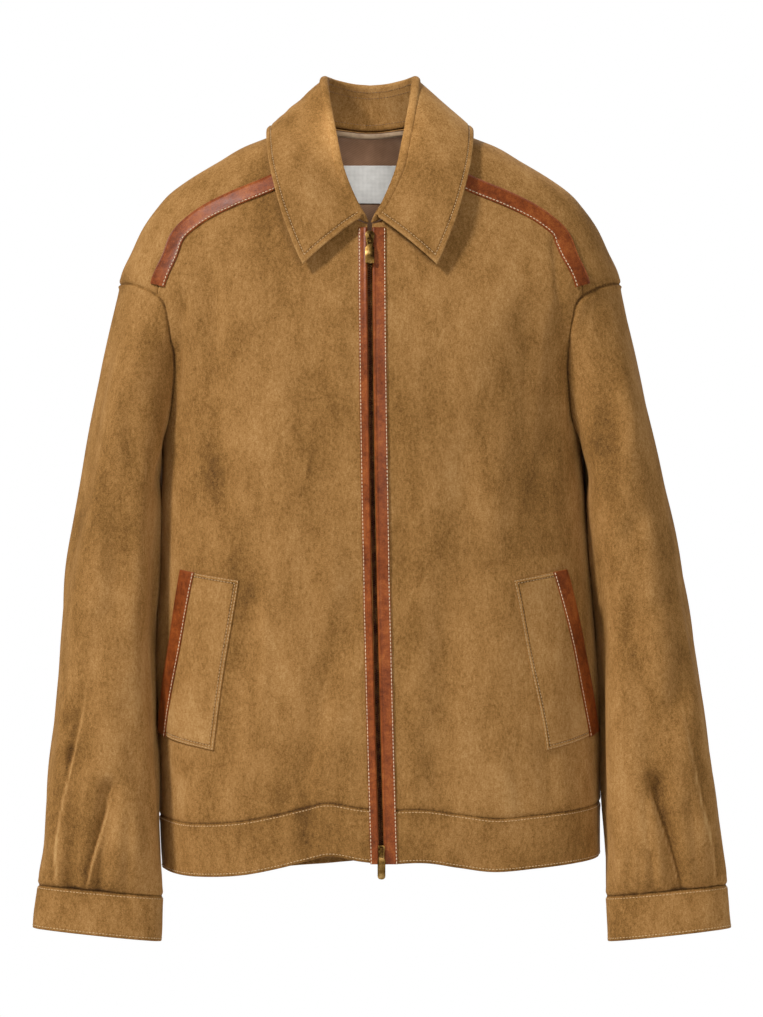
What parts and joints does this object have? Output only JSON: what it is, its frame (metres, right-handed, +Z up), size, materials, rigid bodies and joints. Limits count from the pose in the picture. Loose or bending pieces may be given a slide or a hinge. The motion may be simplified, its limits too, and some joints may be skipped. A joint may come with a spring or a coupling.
{
  "type": "suede jacket",
  "caption": "Hip-length suede zip jacket filled out as if worn, with a turned-down shirt collar, leather strips, slanted pockets, banded hem and cuffs, hollow inside.",
  "frame": {"origin": "middle of the neck base, level with the back neck seam, where the wearer holds the jacket up", "axes": "+Z up, +X towards the wearer's left, the front with its zip faces -Y"},
  "size_m": [0.6244, 0.2435, 0.7766],
  "materials": {
    "suede": "napped suede, matt, light brown",
    "leather_trim": "smooth semi-gloss leather, cognac brown",
    "lining": "satin, brown",
    "label": "woven, off-white, blank",
    "zip_tape": "woven tape, dark brown",
    "zip_metal": "antique brass, satin"
  },
  "bodies": {
    "jacket": {"front_left": "suede", "front_right": "suede", "back": "suede", "hem_band": "suede", "sleeve_left": "suede", "sleeve_right": "suede", "cuff_left": "suede", "cuff_right": "suede", "collar": "suede", "pocket_welt_left": "suede", "pocket_welt_right": "suede", "front_trim_left": "leather_trim", "front_trim_right": "leather_trim", "shoulder_trim_left": "leather_trim", "shoulder_trim_right": "leather_trim", "pocket_trim_left": "leather_trim", "pocket_trim_right": "leather_trim", "neck_lining": "lining", "neck_label": "label", "zip": "zip_tape", "zip_slider_top": "zip_metal", "zip_slider_bottom": "zip_metal"},
    "pull_top": {"zip_pull_top": "zip_metal"},
    "pull_bottom": {"zip_pull_bottom": "zip_metal"}
  },
  "joints": [
    {"name": "pull_top_swing", "type": "hinge", "parent": "jacket", "child": "pull_top", "pos_m": [0, -0.10081, -0.10123], "axis": [-1, 0, 0], "range_deg": [0, 150]},
    {"name": "pull_bottom_swing", "type": "hinge", "parent": "jacket", "child": "pull_bottom", "pos_m": [0.01033, -0.11267, -0.6445], "axis": [-1, 0, 0], "range_deg": [0, 165]}
  ]
}
